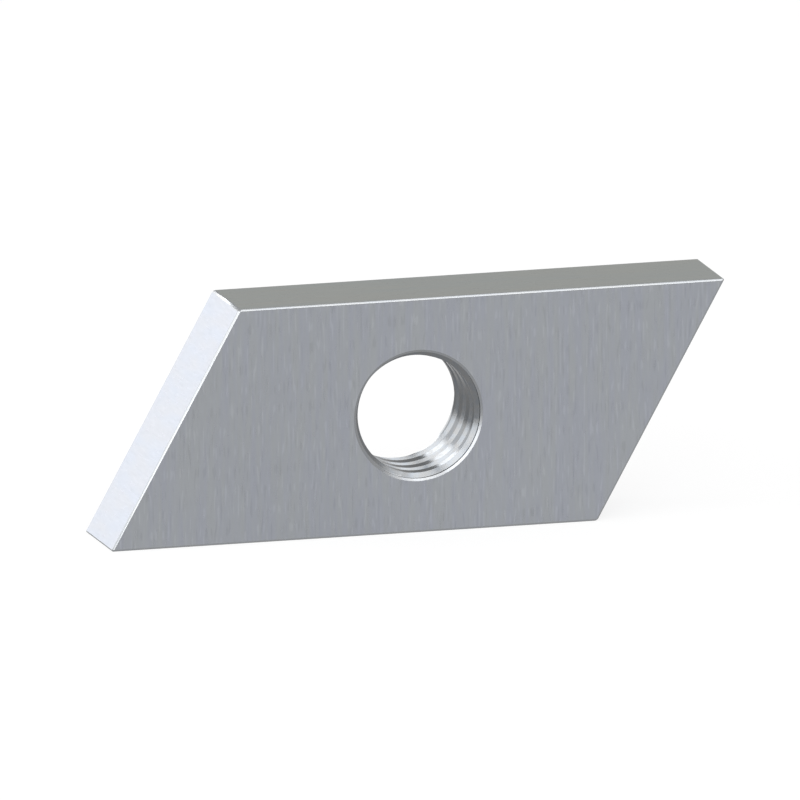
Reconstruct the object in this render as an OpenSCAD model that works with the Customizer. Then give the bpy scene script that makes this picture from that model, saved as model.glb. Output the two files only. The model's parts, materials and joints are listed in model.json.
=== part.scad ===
// Rail nut: a rhomboid steel plate with one threaded hole through its middle.
// The plate is narrow enough to pass through the slot of a mounting rail. Turned inside the
// rail, its long direction bridges the rail's two lips, and a bolt then clamps it there.
//
// It stands on one long narrow face. +X runs along the long narrow faces, +Z up from one to
// the other, and the front face looks along -Y. The origin is on the thread's axis, halfway
// through the plate.

/* [Plate] */
// Length of each long narrow face, from corner to corner
plate_length = 21.1; // [16:0.1:40]
// Width between the two long narrow faces, which has to pass through the rail's slot
plate_width = 10; // [8:0.1:20]
// Thickness between the front and the back face
plate_thickness = 4; // [2:0.1:8]
// Angle between a slanted end and the long narrow faces, in degrees
end_angle = 61; // [50:1:80]
// Width of the break on every outer edge
edge_break = 0.08; // [0.02:0.02:0.3]

/* [Thread] */
// Nominal diameter of the thread
thread_d = 6; // [4:1:8]
// Pitch of the thread
thread_pitch = 1; // [0.5:0.05:1.25]
// How much wider the drilled hole is than the basic minor diameter of the thread
minor_allowance = 0.08; // [0.02:0.01:0.2]
// How far the rim of each countersink stands outside the drilled hole, all round
countersink_width = 0.3; // [0.1:0.05:0.6]
// Full angle of each countersink's cone, in degrees
countersink_angle = 90; // [60:5:120]

/* [Hidden] */

// Facets on round surfaces
$fn = 128;
// How far a cutting or crossing solid runs past what it meets
overrun = 1;
// Pitches between the nominal and the basic minor diameter of an internal 60 degree thread
minor_ratio = 1.0825;

bore_d = thread_d - minor_ratio * thread_pitch + minor_allowance;
rim_d = bore_d + 2 * countersink_width;
countersink_slope = tan(countersink_angle / 2);
countersink_depth = countersink_width / countersink_slope;

// Distance between the two slanted ends, square to them
end_distance = plate_length * sin(end_angle);
// Length of the rhomboid's shadow along the direction of its slanted ends
slant_reach = plate_length * cos(end_angle) + plate_width / sin(end_angle);
// How far the top narrow face is set along +X from the bottom one
lean = plate_width / tan(end_angle);
steel = "#a9adb2";

// A rectangle round the origin, with each corner broken at 45 degrees
module broken_rectangle(across, up) {
    x = across / 2;
    y = up / 2;
    b = edge_break;
    polygon([
        [x - b, -y], [x, b - y], [x, y - b], [x - b, y],
        [b - x, y], [-x, y - b], [-x, b - y], [b - x, -y]
    ]);
}

// The flat bar that the plate is cut from, with its four long edges broken
module bar() {
    rotate([0, 90, 0])
        linear_extrude(height = plate_length + lean + 2 * overrun, center = true)
            broken_rectangle(plate_width, plate_thickness);
}

// What lies between the two slanted saw cuts, with the edges of the cuts broken
module between_cuts() {
    rotate([0, 90 - end_angle, 0])
        linear_extrude(height = slant_reach + 2 * overrun, center = true)
            broken_rectangle(end_distance, plate_thickness);
}

// The cut that breaks one corner of the rhomboid, square to the line that halves the corner.
// half_angle is half the corner's own angle, and outward the direction that it points in.
module corner_cut(corner, half_angle, outward) {
    side = 4 * edge_break;
    through = plate_thickness + 2 * overrun;
    translate([corner[0], 0, corner[1]])
        rotate([0, -outward, 0])
            translate([side / 2 - edge_break * cos(half_angle), 0, 0])
                cube([side, through, side], center = true);
}

// The cuts over the two sharp and the two blunt corners, each pair opposite each other
module corner_cuts() {
    half = end_angle / 2;
    sharp = [(plate_length + lean) / 2, plate_width / 2];
    blunt = [(lean - plate_length) / 2, plate_width / 2];
    corner_cut(sharp, half, half);
    corner_cut(-sharp, half, half + 180);
    corner_cut(blunt, 90 - half, half + 90);
    corner_cut(-blunt, 90 - half, half - 90);
}

// The rhomboid plate, before its hole
module plate() {
    difference() {
        intersection() {
            bar();
            between_cuts();
        }
        corner_cuts();
    }
}

// The drilled hole along Y, at the diameter of the thread's crests
module bore() {
    rotate([90, 0, 0])
        cylinder(h = plate_thickness + 2 * overrun, d = bore_d, center = true);
}

// The conical countersink of one face: 1 is the back face, at +Y, and -1 the front face
module countersink(face) {
    rotate([-90 * face, 0, 0])
        translate([0, 0, plate_thickness / 2 - countersink_depth])
            cylinder(
                h = countersink_depth + overrun,
                d1 = bore_d,
                d2 = rim_d + 2 * overrun * countersink_slope
            );
}

// The whole nut: the plate with its hole, countersunk from both faces
module nut_plate() {
    color(steel)
        difference() {
            plate();
            bore();
            for (face = [-1, 1]) countersink(face);
        }
}

nut_plate();
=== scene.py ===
"""Visual model of a rail nut: a rhomboid steel plate with one threaded hole.

The nut is made as in a workshop: a bar of flat steel is cut to a rhomboid by two slanted
cuts, its edges are broken, and the hole is drilled, countersunk from both faces and tapped.
All sizes are in metres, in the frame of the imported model: the origin lies on the thread's
axis, halfway through the plate, +X runs along the long narrow faces and the front face
looks along -Y.
"""

from __future__ import annotations

import json
import logging
import math
from collections.abc import Callable, Iterator
from contextlib import contextmanager
from dataclasses import dataclass, field
from enum import Enum
from typing import Any

import bmesh
import bpy
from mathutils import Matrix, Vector

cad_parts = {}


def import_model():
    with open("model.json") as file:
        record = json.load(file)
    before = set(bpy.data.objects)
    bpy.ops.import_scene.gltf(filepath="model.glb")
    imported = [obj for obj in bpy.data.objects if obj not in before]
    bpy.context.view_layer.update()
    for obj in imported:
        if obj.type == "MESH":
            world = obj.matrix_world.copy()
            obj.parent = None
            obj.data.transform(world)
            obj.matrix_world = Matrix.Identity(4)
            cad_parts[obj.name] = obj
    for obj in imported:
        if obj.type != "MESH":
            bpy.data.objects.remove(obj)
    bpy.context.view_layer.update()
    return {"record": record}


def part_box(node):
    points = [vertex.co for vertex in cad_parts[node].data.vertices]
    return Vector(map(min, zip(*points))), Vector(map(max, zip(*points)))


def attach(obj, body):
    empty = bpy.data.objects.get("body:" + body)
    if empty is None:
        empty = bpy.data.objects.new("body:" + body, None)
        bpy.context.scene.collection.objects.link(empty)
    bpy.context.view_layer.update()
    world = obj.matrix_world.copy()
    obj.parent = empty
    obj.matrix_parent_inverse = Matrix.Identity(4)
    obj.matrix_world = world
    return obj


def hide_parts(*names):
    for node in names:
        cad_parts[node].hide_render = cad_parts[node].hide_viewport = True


LOG = logging.getLogger("rail_nut")

Colour = tuple[float, float, float]
Point = tuple[float, float, float]

# A millimetre in metres
MM = 0.001
WHITE = (1.0, 1.0, 1.0, 1.0)
# Distance between two nodes in the shader editor
NODE_GAP = 220
# The Mix node's sockets for colours, which share their names with those for values
MIX_LOW, MIX_HIGH, MIX_RESULT = 6, 7, 2

# Parts of a noise's range. Its values crowd round 0.5, and the rare ones make dashes.
NEARLY_ALL = (0.25, 0.75)
MOST = (0.3, 0.7)
MIDDLE = (0.35, 0.65)
RARE_HIGH = (0.64, 0.72)
RARE_LOW = (0.36, 0.28)
UNIT = (0.0, 1.0)
# Strength of a noise's finer layers beside the layer above
NOISE_ROUGHNESS = 0.55
# Distances in grains that keep the noises of one finish apart
BAND_SHIFT = 7.3
DASH_SHIFT = 31.7
PATCH_SHIFT = 4.1


# Selecting and editing


def deselect_all() -> None:
    """Clear the selection, which a new operator would otherwise act on."""
    bpy.ops.object.select_all(action="DESELECT")


def make_active(piece: bpy.types.Object) -> None:
    """Select one object alone and make it the active one.

    Args:
        piece: The object that the next operators act on.
    """
    deselect_all()
    piece.select_set(True)
    bpy.context.view_layer.objects.active = piece


@contextmanager
def edit_mode(piece: bpy.types.Object) -> Iterator[None]:
    """Open an object in edit mode with all of its mesh selected, and close it again.

    Args:
        piece: The object to edit.
    """
    make_active(piece)
    bpy.ops.object.mode_set(mode="EDIT")
    bpy.ops.mesh.select_all(action="SELECT")
    yield
    bpy.ops.object.mode_set(mode="OBJECT")


def select_vertices(piece: bpy.types.Object, wanted: Callable[[Vector], bool]) -> None:
    """Select vertices of the object in edit mode by their place, and nothing else.

    Args:
        piece: The object in edit mode.
        wanted: Tells from a vertex's place whether it is selected.
    """
    bpy.ops.mesh.select_mode(type="VERT")
    bpy.ops.mesh.select_all(action="DESELECT")
    mesh = bmesh.from_edit_mesh(piece.data)
    for vertex in mesh.verts:
        vertex.select = wanted(vertex.co)
    mesh.select_flush_mode()
    bmesh.update_edit_mesh(piece.data)


def subtract(piece: bpy.types.Object, cutter: bpy.types.Object) -> None:
    """Cut one object's shape out of another, and delete the cutter.

    Args:
        piece: The object that loses material.
        cutter: The closed shape of the tool that cuts it.
    """
    make_active(piece)
    cut = piece.modifiers.new("cut", "BOOLEAN")
    cut.operation = "DIFFERENCE"
    cut.solver = "EXACT"
    cut.object = cutter
    bpy.ops.object.modifier_apply(modifier=cut.name)
    bpy.data.objects.remove(cutter)


# Materials


class NodeSheet:
    """Builds one material's nodes from left to right."""

    def __init__(self, name: str) -> None:
        """Start an empty material.

        Args:
            name: The material's name.
        """
        self.material = bpy.data.materials.new(name)
        self.material.use_nodes = True
        self.tree = self.material.node_tree
        self.tree.nodes.clear()
        self.column = 0

    def add(self, kind: str, **settings: object) -> bpy.types.Node:
        """Add a node to the right of the last one.

        Args:
            kind: The node's Blender type.
            settings: Properties of the node to set.

        Returns:
            The new node.
        """
        node = self.tree.nodes.new(kind)
        node.location = (self.column * NODE_GAP, 0)
        self.column += 1
        for key, value in settings.items():
            setattr(node, key, value)
        return node

    def link(self, source: bpy.types.NodeSocket, target: bpy.types.NodeSocket) -> None:
        """Join an output to an input."""
        self.tree.links.new(source, target)

    def noise(self, place: bpy.types.NodeSocket, grain: Point, detail: float,
              shift: float = 0.0) -> bpy.types.NodeSocket:
        """Add a noise whose grains have a given size along each axis.

        Args:
            place: The coordinates to read, in metres.
            grain: The size of a grain along X, Y and Z, in metres.
            detail: How many finer layers the noise has.
            shift: Distance in grains that the pattern is moved, so that two noises differ.

        Returns:
            The noise's value, from 0 to 1.
        """
        mapping = self.add("ShaderNodeMapping")
        mapping.inputs["Scale"].default_value = tuple(1.0 / size for size in grain)
        mapping.inputs["Location"].default_value = (shift, shift, shift)
        noise = self.add("ShaderNodeTexNoise", noise_dimensions="3D")
        noise.inputs["Scale"].default_value = 1.0
        noise.inputs["Detail"].default_value = detail
        noise.inputs["Roughness"].default_value = NOISE_ROUGHNESS
        self.link(place, mapping.inputs["Vector"])
        self.link(mapping.outputs["Vector"], noise.inputs["Vector"])
        return noise.outputs["Fac"]

    def spread(self, value: bpy.types.NodeSocket, source: tuple[float, float],
               target: tuple[float, float]) -> bpy.types.NodeSocket:
        """Map a range of values onto another, and clamp what lies outside.

        Args:
            value: The value to map.
            source: The range that it comes from.
            target: The range that it goes to.

        Returns:
            The mapped value.
        """
        node = self.add("ShaderNodeMapRange", clamp=True)
        low, high = source
        node.inputs["From Min"].default_value = low
        node.inputs["From Max"].default_value = high
        node.inputs["To Min"].default_value = target[0]
        node.inputs["To Max"].default_value = target[1]
        self.link(value, node.inputs["Value"])
        return node.outputs["Result"]

    def vary(self, noise: bpy.types.NodeSocket, contrast: float) -> bpy.types.NodeSocket:
        """Turn a noise into a factor of brightness round 1.

        Args:
            noise: The noise's value.
            contrast: How far the darkest and the brightest places are apart.

        Returns:
            The factor.
        """
        return self.spread(noise, NEARLY_ALL, (1.0 - contrast / 2, 1.0 + contrast / 2))

    def combine(self, operation: str, first: bpy.types.NodeSocket,
                second: bpy.types.NodeSocket) -> bpy.types.NodeSocket:
        """Combine two values by a Math node.

        Args:
            operation: The Math node's operation, such as MULTIPLY.
            first: The first value.
            second: The second value.

        Returns:
            The result.
        """
        node = self.add("ShaderNodeMath", operation=operation)
        self.link(first, node.inputs[0])
        self.link(second, node.inputs[1])
        return node.outputs["Value"]

    def blend(self, noise: bpy.types.NodeSocket, low: Colour, high: Colour) -> bpy.types.NodeSocket:
        """Blend two colours by a noise.

        Args:
            noise: The noise's value.
            low: The linear colour where the noise is low.
            high: The linear colour where the noise is high.

        Returns:
            The blended colour.
        """
        share = self.spread(noise, MIDDLE, UNIT)
        node = self.add("ShaderNodeMix", data_type="RGBA")
        node.inputs[MIX_LOW].default_value = (*low, 1.0)
        node.inputs[MIX_HIGH].default_value = (*high, 1.0)
        self.link(share, node.inputs[0])
        return node.outputs[MIX_RESULT]

    def scale_colour(self, colour: bpy.types.NodeSocket,
                     factor: bpy.types.NodeSocket) -> bpy.types.NodeSocket:
        """Make a colour lighter or darker by a factor.

        Args:
            colour: The colour to change.
            factor: What it is multiplied by.

        Returns:
            The changed colour.
        """
        node = self.add("ShaderNodeVectorMath", operation="SCALE")
        self.link(colour, node.inputs[0])
        self.link(factor, node.inputs["Scale"])
        return node.outputs["Vector"]

    def steel(self, colour: bpy.types.NodeSocket, roughness: bpy.types.NodeSocket,
              height: bpy.types.NodeSocket, relief: float, edge_tint: float) -> bpy.types.Material:
        """Finish the sheet with a metal shader.

        Args:
            colour: The metal's colour.
            roughness: Its roughness.
            height: The relief's shape, from 0 to 1.
            relief: The relief's height in metres.
            edge_tint: How bright the metal stays at a grazing angle.

        Returns:
            The finished material.
        """
        bump = self.add("ShaderNodeBump")
        bump.inputs["Strength"].default_value = 1.0
        bump.inputs["Distance"].default_value = relief
        shader = self.add("ShaderNodeBsdfPrincipled")
        shader.inputs["Metallic"].default_value = 1.0
        shader.inputs["Specular Tint"].default_value = (edge_tint, edge_tint, edge_tint, 1.0)
        output = self.add("ShaderNodeOutputMaterial")
        self.link(height, bump.inputs["Height"])
        self.link(colour, shader.inputs["Base Color"])
        self.link(roughness, shader.inputs["Roughness"])
        self.link(bump.outputs["Normal"], shader.inputs["Normal"])
        self.link(shader.outputs["BSDF"], output.inputs["Surface"])
        return self.material


@dataclass(frozen=True)
class BrushedSteel:
    """Zinc-plated steel with straight brush strokes, seen on the plate's flat faces.

    The pattern lies in space, so one finish suits each pair of parallel faces.

    Attributes:
        name: The material's name.
        cool: The bluer of the two linear colours that lie in bands.
        warm: The greyer one.
        stroke: The size of a brush stroke along X, Y and Z, in metres.
        band: The size of a band of one colour along X, Y and Z, in metres.
        roughness: The least and the most roughness.
        contrast: How far the darkest and the brightest strokes are apart.
        dash_light: How much lighter the few light dashes are.
        dash_dark: How much darker the few dark dashes are.
        relief: The height of the strokes in metres.
        edge_tint: How bright the metal stays at a grazing angle.
    """

    name: str
    cool: Colour
    warm: Colour
    stroke: Point
    band: Point
    roughness: tuple[float, float] = (0.26, 0.36)
    contrast: float = 0.10
    dash_light: float = 0.10
    dash_dark: float = 0.08
    relief: float = 0.4e-6
    edge_tint: float = 0.65

    def build(self) -> bpy.types.Material:
        """Build the material.

        Returns:
            The brushed steel.
        """
        sheet = NodeSheet(self.name)
        place = sheet.add("ShaderNodeTexCoord").outputs["Object"]
        strokes = sheet.noise(place, self.stroke, detail=2.0)
        bands = sheet.noise(place, self.band, detail=1.0, shift=BAND_SHIFT)
        dashes = sheet.noise(place, self.stroke, detail=0.0, shift=DASH_SHIFT)
        light = sheet.spread(dashes, RARE_HIGH, (0.0, self.dash_light))
        dark = sheet.spread(dashes, RARE_LOW, (0.0, self.dash_dark))
        level = sheet.vary(strokes, self.contrast)
        level = sheet.combine("SUBTRACT", sheet.combine("ADD", level, light), dark)
        colour = sheet.scale_colour(sheet.blend(bands, self.cool, self.warm), level)
        rough = sheet.spread(strokes, NEARLY_ALL, self.roughness)
        height = sheet.combine("ADD", strokes, light)
        return sheet.steel(colour, rough, height, self.relief, self.edge_tint)


@dataclass(frozen=True)
class TurnedSteel:
    """Steel that a drill, a countersink or a tap has cut, with fine rings round the hole.

    Attributes:
        name: The material's name.
        cool: The bluer of the two linear colours that lie in patches.
        warm: The greyer one.
        ring: The width of a ring in metres.
        patch: The size of a patch of one colour in metres.
        roughness: The least and the most roughness.
        contrast: How far the darkest and the brightest rings are apart.
        relief: The height of the rings in metres.
        edge_tint: How bright the metal stays at a grazing angle.
    """

    name: str
    cool: Colour
    warm: Colour
    ring: float
    patch: float = 0.3 * MM
    roughness: tuple[float, float] = (0.14, 0.24)
    contrast: float = 0.12
    relief: float = 0.5e-6
    edge_tint: float = 0.65

    def build(self) -> bpy.types.Material:
        """Build the material.

        Returns:
            The turned steel.
        """
        sheet = NodeSheet(self.name)
        place = sheet.add("ShaderNodeTexCoord").outputs["Object"]
        apart = sheet.add("ShaderNodeSeparateXYZ")
        across = sheet.add("ShaderNodeCombineXYZ")
        radius = sheet.add("ShaderNodeVectorMath", operation="LENGTH")
        around = sheet.add("ShaderNodeCombineXYZ")
        sheet.link(place, apart.inputs["Vector"])
        sheet.link(apart.outputs["X"], across.inputs["X"])
        sheet.link(apart.outputs["Z"], across.inputs["Z"])
        sheet.link(across.outputs["Vector"], radius.inputs[0])
        sheet.link(radius.outputs["Value"], around.inputs["X"])
        sheet.link(apart.outputs["Y"], around.inputs["Y"])
        ring_grain = (self.ring, self.ring, self.ring)
        patch_grain = (self.patch, self.patch, self.patch)
        rings = sheet.noise(around.outputs["Vector"], ring_grain, detail=1.0)
        patches = sheet.noise(place, patch_grain, detail=2.0, shift=PATCH_SHIFT)
        level = sheet.vary(rings, self.contrast)
        colour = sheet.scale_colour(sheet.blend(patches, self.cool, self.warm), level)
        rough = sheet.spread(patches, MOST, self.roughness)
        return sheet.steel(colour, rough, rings, self.relief, self.edge_tint)


# The nut


class Zone(Enum):
    """A kind of surface on the nut, by what made it. The value is its material slot."""

    BROAD_FACE = 0
    NARROW_FACE = 1
    CUT_END = 2
    BROKEN_EDGE = 3
    COUNTERSINK = 4
    THREAD = 5


FINISHES: dict[Zone, BrushedSteel | TurnedSteel] = {
    Zone.BROAD_FACE: BrushedSteel(
        "zinc_brushed_broad",
        cool=(0.311, 0.325, 0.361), warm=(0.318, 0.332, 0.350),
        stroke=(0.095 * MM, 0.3 * MM, 0.85 * MM), band=(0.28 * MM, 1.2 * MM, 4.0 * MM),
        contrast=0.05, dash_light=0.09, dash_dark=0.07,
    ),
    # Painted reflection: the narrow faces get a darker, greener grey than the broad ones, the tint
    # that the top face mirrors from its surroundings.
    Zone.NARROW_FACE: BrushedSteel(
        "brushed_narrow_painted_reflection",
        cool=(0.295, 0.313, 0.301), warm=(0.305, 0.315, 0.295),
        stroke=(0.7 * MM, 0.08 * MM, 0.3 * MM), band=(5.0 * MM, 0.4 * MM, 1.2 * MM),
        contrast=0.05, dash_light=0.03, dash_dark=0.03,
    ),
    Zone.CUT_END: BrushedSteel(
        "zinc_cut_end",
        cool=(0.300, 0.318, 0.355), warm=(0.308, 0.318, 0.343),
        stroke=(0.2 * MM, 0.7 * MM, 0.08 * MM), band=(0.9 * MM, 2.5 * MM, 0.6 * MM),
        contrast=0.06, dash_light=0.03, dash_dark=0.03,
    ),
    # Painted shade: the rounded edges get a darker grey than the faces they join, which dims the
    # highlights on them.
    Zone.BROKEN_EDGE: BrushedSteel(
        "broken_edge_painted_shade",
        cool=(0.28, 0.292, 0.308), warm=(0.288, 0.296, 0.304),
        stroke=(0.5 * MM, 0.2 * MM, 0.5 * MM), band=(1.2 * MM, 1.2 * MM, 1.2 * MM),
        roughness=(0.2, 0.3), contrast=0.05, dash_light=0.02, dash_dark=0.02,
    ),
    # Painted shade: the countersinks and the plain mouths get a darker grey than the faces, so the
    # rim of the hole renders dimmer.
    Zone.COUNTERSINK: TurnedSteel(
        "countersink_painted_shade", cool=(0.24, 0.25, 0.265), warm=(0.25, 0.255, 0.26), ring=0.04 * MM,
        roughness=(0.2, 0.3),
    ),
    # Painted shade: the thread gets about half the colour of the faces and a lower edge tint, which
    # darkens the inside of the hole.
    Zone.THREAD: TurnedSteel(
        "thread_painted_shade", cool=(0.148, 0.158, 0.170), warm=(0.168, 0.170, 0.172), ring=0.05 * MM,
        roughness=(0.16, 0.26), edge_tint=0.5,
    ),
}


@dataclass
class RailNut:
    """The whole nut: a rhomboid plate with a countersunk and tapped hole.

    Lengths are in metres. Angles round the hole run from +X towards +Z.

    Attributes:
        width: Distance between the two long narrow faces.
        thickness: Distance between the front and the back face.
        end_point: The middle of the right end. The left end lies opposite.
        end_normal: The direction that the right end looks in.
        bore_radius: Radius of the drilled hole, which is that of the thread's crests.
        countersink_depth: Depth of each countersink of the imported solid.
        edge_radius: How far from an outer edge its rounding starts.
        edge_segments: Facets across a rounding.
        edge_profile: Shape of a rounding, where 0.5 is round and 0.25 is flat.
        mouth_radius: Radius of the plain mouth at each end of the thread.
        mouth_depths: Depth of the front and of the back mouth, up to the thread.
        mouth_slope: Depth over width of the slopes at both ends of a mouth.
        root_radius: Radius of the bottom of the thread's groove.
        thread_pitch: Pitch of the thread.
        land: Width of the flat crest that is left beside the groove.
        flank_slope: Width over depth of a flank, half of a 60 degree profile.
        first_land: Depth below the front face at which the first land starts.
        first_land_turn: Angle round the hole at which first_land is measured.
        thread_turns: How many turns the groove's tool has.
        lead_in_turns: How many turns early the sweep starts, out in front of the plate.
        groove_overlap: How far the groove's tool reaches inwards from the bore's wall.
        facets: Facets round the hole.
        overrun: How much wider than the rim the drilling tool is where it ends.
        smallest: Distance under which two places count as the same.
        cut_tolerance: Distance from a saw cut at which a corner counts as on it.
        flat: Cosine above which two directions count as parallel.
        sharp_angle: Angle between two faces above which their edge stays sharp.
        finishes: The finish of each zone.
    """

    width: float
    thickness: float
    end_point: Vector
    end_normal: Vector
    bore_radius: float
    countersink_depth: float
    edge_radius: float = 0.1 * MM
    edge_segments: int = 5
    edge_profile: float = 0.4
    mouth_radius: float = 2.7 * MM
    mouth_depths: tuple[float, float] = (0.28 * MM, 0.75 * MM)
    mouth_slope: float = math.tan(math.radians(30))
    root_radius: float = 2.65 * MM
    thread_pitch: float = 1.0 * MM
    land: float = 0.5 * MM
    flank_slope: float = math.tan(math.radians(30))
    first_land: float = 0.6 * MM
    first_land_turn: float = math.radians(140)
    thread_turns: int = 7
    lead_in_turns: int = 2
    groove_overlap: float = 0.05 * MM
    facets: int = 192
    overrun: float = 0.3 * MM
    smallest: float = 0.0003 * MM
    cut_tolerance: float = 0.00003 * MM
    flat: float = 0.9999
    sharp_angle: float = math.radians(25)
    finishes: dict[Zone, BrushedSteel | TurnedSteel] = field(default_factory=lambda: FINISHES)

    @classmethod
    def from_frame(cls, node: str, record: dict[str, Any]) -> RailNut:
        """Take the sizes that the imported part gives.

        Args:
            node: The name of the nut's solid in the frame.
            record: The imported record, with the thread and the two slanted ends as mounts.

        Returns:
            The nut, not yet built.
        """
        low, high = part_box(node)
        mounts = {mount["name"]: mount for mount in record["mounts"]}
        end, thread = mounts["right_end"], mounts["thread"]["dims"]
        thickness = high.y - low.y
        return cls(
            width=high.z - low.z,
            thickness=thickness,
            end_point=Vector(end["pos_m"]),
            end_normal=Vector(end["axis"]),
            bore_radius=thread["r_mm"] * MM,
            countersink_depth=(thickness - thread["length_mm"] * MM) / 2,
        )

    @property
    def rim_radius(self) -> float:
        """Radius of the hole's rim, at which the solid's 45 degree countersink meets the face."""
        return self.bore_radius + self.countersink_depth

    def build(self) -> bpy.types.Object:
        """Make the nut from bar stock to the dressed piece.

        Returns:
            The finished piece.
        """
        nut = self.cut_bar()
        self.saw_ends(nut)
        self.break_edges(nut)
        self.drill(nut)
        self.tap(nut)
        self.clean(nut)
        self.dress(nut)
        self.smooth(nut)
        return nut

    def cut_bar(self) -> bpy.types.Object:
        """Cut a piece of flat bar, longer than the nut.

        Returns:
            The square-ended bar.
        """
        length = 2 * (self.end_point.x + self.width)
        deselect_all()
        bpy.ops.mesh.primitive_cube_add(size=1)
        bar = bpy.context.active_object
        bar.name = bar.data.name = "nut"
        with edit_mode(bar):
            bpy.ops.transform.resize(value=(length, self.thickness, self.width))
        return bar

    def saw_ends(self, nut: bpy.types.Object) -> None:
        """Saw both ends off at a slant, which makes the bar a rhomboid.

        Args:
            nut: The bar.
        """
        for side in (1, -1):
            with edit_mode(nut):
                bpy.ops.mesh.bisect(
                    plane_co=side * self.end_point, plane_no=side * self.end_normal,
                    use_fill=True, clear_outer=True, threshold=self.cut_tolerance,
                )

    def break_edges(self, nut: bpy.types.Object) -> None:
        """Round all twelve outer edges and the corners between them.

        Args:
            nut: The sharp-edged rhomboid.
        """
        with edit_mode(nut):
            bpy.ops.mesh.bevel(
                offset=self.edge_radius, offset_type="OFFSET", segments=self.edge_segments,
                profile=self.edge_profile, affect="EDGES",
            )

    def drill(self, nut: bpy.types.Object) -> None:
        """Drill the hole at the diameter of the thread's crests, wider at both mouths.

        Each mouth opens in a shallow slope, runs plain for a little and ends in the broken
        rim, which has the same slope.

        Args:
            nut: The plate without its hole.
        """
        front, back = self.mouth_depths
        deselect_all()
        bpy.ops.mesh.primitive_cylinder_add(
            vertices=self.facets, radius=self.bore_radius, depth=self.thickness - front - back,
            location=(0, (front - back) / 2, 0), rotation=(math.pi / 2, 0, 0),
        )
        bpy.ops.object.transform_apply(location=True, rotation=True, scale=False)
        cutter = bpy.context.active_object
        opening = self.mouth_radius - self.bore_radius
        rim_break = self.rim_radius - self.mouth_radius
        for side, depth in ((-1, front), (1, back)):
            reach = self.thickness / 2 - depth
            radius = self.bore_radius
            with edit_mode(cutter):
                select_vertices(cutter, lambda co: side * co.y > reach - self.smallest)
                for step, widening in (
                    (opening * self.mouth_slope, opening),
                    (depth - (opening + rim_break) * self.mouth_slope, 0.0),
                    ((rim_break + self.overrun) * self.mouth_slope, rim_break + self.overrun),
                ):
                    reach += step
                    wider = (radius + widening) / radius
                    radius += widening
                    bpy.ops.mesh.extrude_region_move(
                        TRANSFORM_OT_translate={"value": (0, side * step, 0)},
                    )
                    bpy.ops.transform.resize(
                        value=(wider, 1, wider), center_override=(0, side * reach, 0),
                    )
        subtract(nut, cutter)

    def tap(self, nut: bpy.types.Object) -> None:
        """Cut the right-hand thread's groove between the crests.

        Args:
            nut: The drilled and countersunk plate.
        """
        subtract(nut, self.make_groove())

    def make_groove(self) -> bpy.types.Object:
        """Sweep the groove's 60 degree profile along the thread.

        Returns:
            The closed helical tool, longer than the hole at both ends.
        """
        inner = self.bore_radius - self.groove_overlap
        middle = (self.root_radius + inner) / 2
        mouth_half = (self.thread_pitch - self.land) / 2
        inner_half = mouth_half + (self.bore_radius - inner) * self.flank_slope
        root_half = inner_half - (self.root_radius - inner) * self.flank_slope
        # Where the groove's middle is as the sweep starts, at +X. At the angle of the first
        # land it lies just in front of it, and a right-hand thread goes deeper from +Z to +X.
        turns_back = self.first_land_turn / math.tau
        before_land = self.first_land - mouth_half
        start = before_land + turns_back * self.thread_pitch - self.thickness / 2
        start -= self.lead_in_turns * self.thread_pitch
        deselect_all()
        bpy.ops.mesh.primitive_plane_add(size=1)
        groove = bpy.context.active_object
        with edit_mode(groove):
            bpy.ops.transform.resize(value=(self.root_radius - inner, 2 * inner_half, 1))
            bpy.ops.transform.translate(value=(middle, start, 0))
            select_vertices(groove, lambda co: co.x > middle)
            bpy.ops.transform.resize(
                value=(1, root_half / inner_half, 1), center_override=(self.root_radius, start, 0),
            )
            bpy.ops.mesh.select_all(action="SELECT")
            bpy.ops.transform.rotate(
                value=math.pi / self.facets, orient_axis="Y", center_override=(0, 0, 0),
            )
            bpy.ops.mesh.delete(type="ONLY_FACE")
        sweep = groove.modifiers.new("sweep", "SCREW")
        sweep.axis = "Y"
        sweep.angle = math.tau
        sweep.screw_offset = self.thread_pitch
        sweep.iterations = self.thread_turns
        sweep.steps = sweep.render_steps = self.facets
        sweep.use_smooth_shade = False
        bpy.ops.object.modifier_apply(modifier=sweep.name)
        with edit_mode(groove):
            bpy.ops.mesh.select_all(action="DESELECT")
            bpy.ops.mesh.select_mode(type="EDGE")
            bpy.ops.mesh.select_non_manifold()
            bpy.ops.mesh.fill_holes(sides=4)
            bpy.ops.mesh.select_all(action="SELECT")
            bpy.ops.mesh.normals_make_consistent(inside=False)
        return groove

    def clean(self, nut: bpy.types.Object) -> None:
        """Collapse the tiny edges that the cuts left.

        Args:
            nut: The cut plate.
        """
        with edit_mode(nut):
            bpy.ops.mesh.dissolve_degenerate(threshold=self.smallest)
            bpy.ops.mesh.normals_make_consistent(inside=False)

    def zone_of(self, face: bpy.types.MeshPolygon) -> Zone:
        """Tell what made a face, by its place and normal.

        Args:
            face: A face of the finished mesh.

        Returns:
            The zone that the face belongs to.
        """
        normal = face.normal
        if abs(normal.y) > self.flat:
            return Zone.BROAD_FACE
        radius = math.hypot(face.center.x, face.center.z)
        if radius < self.rim_radius:
            return Zone.COUNTERSINK if radius > self.root_radius else Zone.THREAD
        if abs(normal.z) > self.flat:
            return Zone.NARROW_FACE
        if abs(normal.dot(self.end_normal)) > self.flat:
            return Zone.CUT_END
        return Zone.BROKEN_EDGE

    def dress(self, nut: bpy.types.Object) -> None:
        """Give each face the finish of its zone.

        Args:
            nut: The finished mesh.
        """
        for zone in Zone:
            nut.data.materials.append(self.finishes[zone].build())
        for face in nut.data.polygons:
            face.material_index = self.zone_of(face).value

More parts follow.
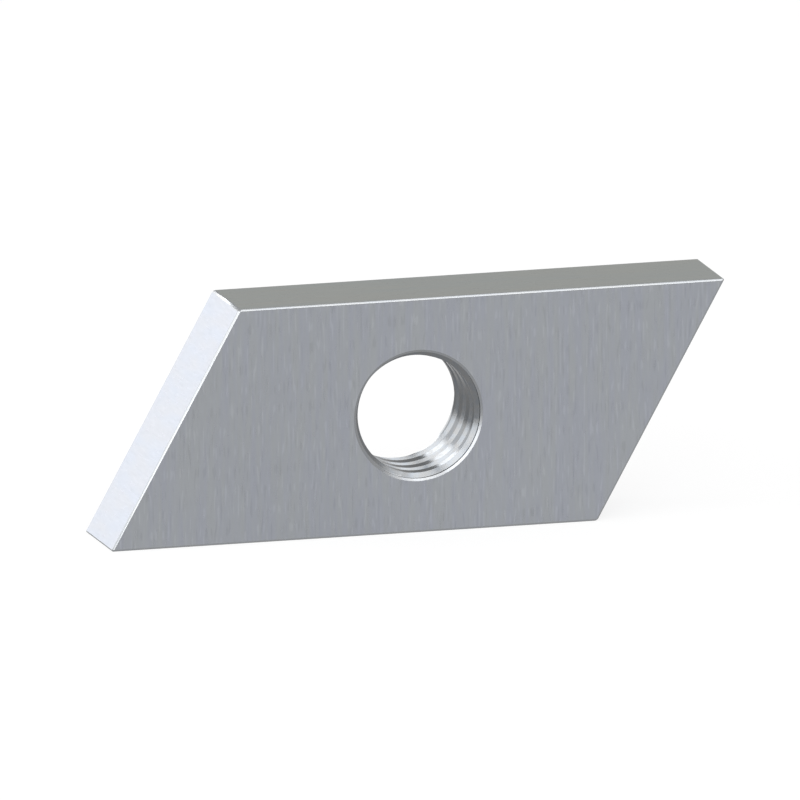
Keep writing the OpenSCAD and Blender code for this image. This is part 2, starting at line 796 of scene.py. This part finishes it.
    def smooth(self, nut: bpy.types.Object) -> None:
        """Shade the rounds smooth, keep the creases sharp and the flat faces flat.

        Args:
            nut: The dressed mesh, whose zones are its material slots.
        """
        make_active(nut)
        bpy.ops.object.shade_smooth_by_angle(angle=self.sharp_angle)
        hole = {Zone.COUNTERSINK.value, Zone.THREAD.value}
        zones: dict[int, set[int]] = {}
        for face in nut.data.polygons:
            for loop in face.loop_indices:
                zones.setdefault(nut.data.loops[loop].edge_index, set()).add(face.material_index)
        with edit_mode(nut):
            mesh = bmesh.from_edit_mesh(nut.data)
            mesh.edges.ensure_lookup_table()
            bpy.ops.mesh.select_mode(type="EDGE")
            for edge in mesh.edges:
                met = zones[edge.index]
                edge.select = len(met) > 1 and bool(met & hole)
            bpy.ops.mesh.mark_sharp()
        weigh = nut.modifiers.new("weigh", "WEIGHTED_NORMAL")
        weigh.mode = "FACE_AREA"
        weigh.keep_sharp = True
        bpy.ops.object.modifier_apply(modifier=weigh.name)


# The studio


@dataclass(frozen=True)
class Lamp:
    """A soft white lamp that lights the nut and shows in the steel, but not in the picture.

    Attributes:
        name: The lamp's name.
        place: Its middle, in metres.
        size: Its width and height, in metres.
        radiance: How bright its face is, where 1 is the white of the surroundings.
    """

    name: str
    place: Point
    size: tuple[float, float]
    radiance: float

    def hang(self) -> None:
        """Hang the lamp so that it faces the origin."""
        light = bpy.data.lights.new(self.name, "AREA")
        light.shape = "RECTANGLE"
        light.size, light.size_y = self.size
        light.energy = self.radiance * math.pi * self.size[0] * self.size[1]
        lamp = bpy.data.objects.new(self.name, light)
        lamp.location = self.place
        lamp.rotation_euler = Vector(self.place).to_track_quat("Z", "Y").to_euler()
        lamp.visible_camera = False
        bpy.context.scene.collection.objects.link(lamp)


@dataclass(frozen=True)
class Studio:
    """The plain white floor, the white surroundings and the lamps.

    Attributes:
        floor_height: Height of the floor, in metres.
        floor_side: Side of the square floor, in metres.
        floor_paint: How light the floor's paint is, from 0 to 1.
        floor_glow: Share of plain white in what is seen of the floor. The rest is lit paint,
            which keeps the nut's shadow.
        sky_level: How bright the surroundings are as light, beside 1 as they are seen.
        lamps: All the lamps.
    """

    floor_height: float
    floor_side: float = 3.0
    floor_paint: float = 0.9
    floor_glow: float = 0.8
    sky_level: float = 0.25
    lamps: tuple[Lamp, ...] = (
        Lamp("panel_behind_left", (-0.173, 0.375, 0.064), (0.42, 0.26), 2.15),
        Lamp("strip_behind", (-0.05, 0.375, 0.13), (0.12, 0.06), 6.6),
        Lamp("box_left", (-0.35, -0.075, 0.25), (0.55, 0.36), 2.3),
        Lamp("box_low_left", (-0.285, -0.285, 0.065), (0.25, 0.14), 3.2),
        Lamp("box_front_left", (-0.146, -0.37, 0.211), (0.19, 0.22), 4.3),
        Lamp("box_front_above", (0.18, -0.34, 0.34), (0.54, 0.10), 2.3),
        Lamp("box_above", (0.20, -0.08, 0.45), (0.95, 0.26), 2.0),
    )

    def build(self) -> bpy.types.Object:
        """Set up the floor, the surroundings and the lamps.

        Returns:
            The floor.
        """
        self.paint_world()
        for lamp in self.lamps:
            lamp.hang()
        deselect_all()
        bpy.ops.mesh.primitive_plane_add(size=self.floor_side)
        floor = bpy.context.active_object
        floor.name = floor.data.name = "floor"
        with edit_mode(floor):
            bpy.ops.transform.translate(value=(0, 0, self.floor_height))
        floor.data.materials.append(self.floor_material())
        return floor

    def seen(self, tree: bpy.types.NodeTree) -> bpy.types.NodeSocket:
        """Add a value that is 1 for what is seen, mirrored or seen through glass.

        Args:
            tree: The node tree to add it to.

        Returns:
            The value, which is 0 for light that a matt surface collects.
        """
        path = tree.nodes.new("ShaderNodeLightPath")
        either = tree.nodes.new("ShaderNodeMath")
        either.operation = "MAXIMUM"
        any_ray = tree.nodes.new("ShaderNodeMath")
        any_ray.operation = "MAXIMUM"
        tree.links.new(path.outputs["Is Camera Ray"], either.inputs[0])
        tree.links.new(path.outputs["Is Glossy Ray"], either.inputs[1])
        tree.links.new(either.outputs["Value"], any_ray.inputs[0])
        tree.links.new(path.outputs["Is Transmission Ray"], any_ray.inputs[1])
        return any_ray.outputs["Value"]

    def paint_world(self) -> None:
        """Make the surroundings white to the eye and in the steel, and softer as light."""
        world = bpy.data.worlds.new("surroundings")
        world.use_nodes = True
        tree = world.node_tree
        level = tree.nodes.new("ShaderNodeMapRange")
        level.inputs["To Min"].default_value = self.sky_level
        level.inputs["To Max"].default_value = 1.0
        background = tree.nodes["Background"]
        background.inputs["Color"].default_value = WHITE
        tree.links.new(self.seen(tree), level.inputs["Value"])
        tree.links.new(level.outputs["Result"], background.inputs["Strength"])
        bpy.context.scene.world = world

    def floor_material(self) -> bpy.types.Material:
        """Make the white floor, which keeps a soft shadow of the nut.

        Returns:
            The floor's material.
        """
        material = bpy.data.materials.new("white_floor")
        material.use_nodes = True
        tree = material.node_tree
        tree.nodes.clear()
        paint = tree.nodes.new("ShaderNodeBsdfDiffuse")
        paint.inputs["Color"].default_value = (self.floor_paint,) * 3 + (1.0,)
        glow = tree.nodes.new("ShaderNodeEmission")
        glow.inputs["Strength"].default_value = 1.0
        share = tree.nodes.new("ShaderNodeMath")
        share.operation = "MULTIPLY"
        share.inputs[1].default_value = self.floor_glow
        mix = tree.nodes.new("ShaderNodeMixShader")
        output = tree.nodes.new("ShaderNodeOutputMaterial")
        tree.links.new(self.seen(tree), share.inputs[0])
        tree.links.new(share.outputs["Value"], mix.inputs["Fac"])
        tree.links.new(paint.outputs["BSDF"], mix.inputs[1])
        tree.links.new(glow.outputs["Emission"], mix.inputs[2])
        tree.links.new(mix.outputs["Shader"], output.inputs["Surface"])
        return material


@dataclass(frozen=True)
class PhotoCamera:
    """The camera at the photo's angle, which shows parallel edges parallel.

    Attributes:
        azimuth: Angle to the right of the front face, in degrees.
        elevation: Angle above the horizon, in degrees.
        image_side: Side of the square photo, in pixels.
        pixels_per_mm: Scale of the photo.
        nut_right_of_middle: How far the nut lies to the right of the photo's middle, in pixels.
        nut_below_middle: How far it lies below it, in pixels.
        distance: Distance from the nut, in metres.
        clip: The nearest and the farthest distance that are seen, in metres.
    """

    azimuth: float = -16.27
    elevation: float = 12.72
    image_side: float = 800.0
    pixels_per_mm: float = 24.008
    nut_right_of_middle: float = 5.08
    nut_below_middle: float = 5.33
    distance: float = 0.5
    clip: tuple[float, float] = (0.01, 10.0)

    def build(self) -> bpy.types.Object:
        """Place the camera and make it the scene's own.

        Returns:
            The camera.
        """
        turn, lift = math.radians(self.azimuth), math.radians(self.elevation)
        back = Vector((
            math.sin(turn) * math.cos(lift), -math.cos(turn) * math.cos(lift), math.sin(lift),
        ))
        right = Vector((math.cos(turn), math.sin(turn), 0.0))
        up = back.cross(right)
        per_pixel = MM / self.pixels_per_mm
        aim = up * self.nut_below_middle * per_pixel - right * self.nut_right_of_middle * per_pixel
        lens = bpy.data.cameras.new("photo_camera")
        lens.type = "ORTHO"
        lens.ortho_scale = self.image_side * per_pixel
        lens.clip_start, lens.clip_end = self.clip
        camera = bpy.data.objects.new("photo_camera", lens)
        camera.location = aim + back * self.distance
        camera.rotation_euler = back.to_track_quat("Z", "Y").to_euler()
        bpy.context.scene.collection.objects.link(camera)
        bpy.context.scene.camera = camera
        return camera


def main() -> None:
    """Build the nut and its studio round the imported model."""
    logging.basicConfig(level=logging.INFO, format="%(name)s: %(message)s")
    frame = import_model()

    nut = RailNut.from_frame("nut_plate", frame["record"])
    piece = nut.build()
    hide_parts("nut_plate")
    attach(piece, "root")
    faces = len(piece.data.polygons)
    LOG.info("%s: %d faces, rim radius %.3f mm", piece.name, faces, nut.rim_radius / MM)

    floor = Studio(floor_height=-nut.width / 2).build()
    LOG.info("%s: %.1f m square", floor.name, floor.dimensions.x)

    camera = PhotoCamera().build()
    LOG.info("%s: %.2f mm across", camera.name, camera.data.ortho_scale / MM)

    bpy.context.scene.view_settings.view_transform = "Standard"


if __name__ == "__main__":
    main()
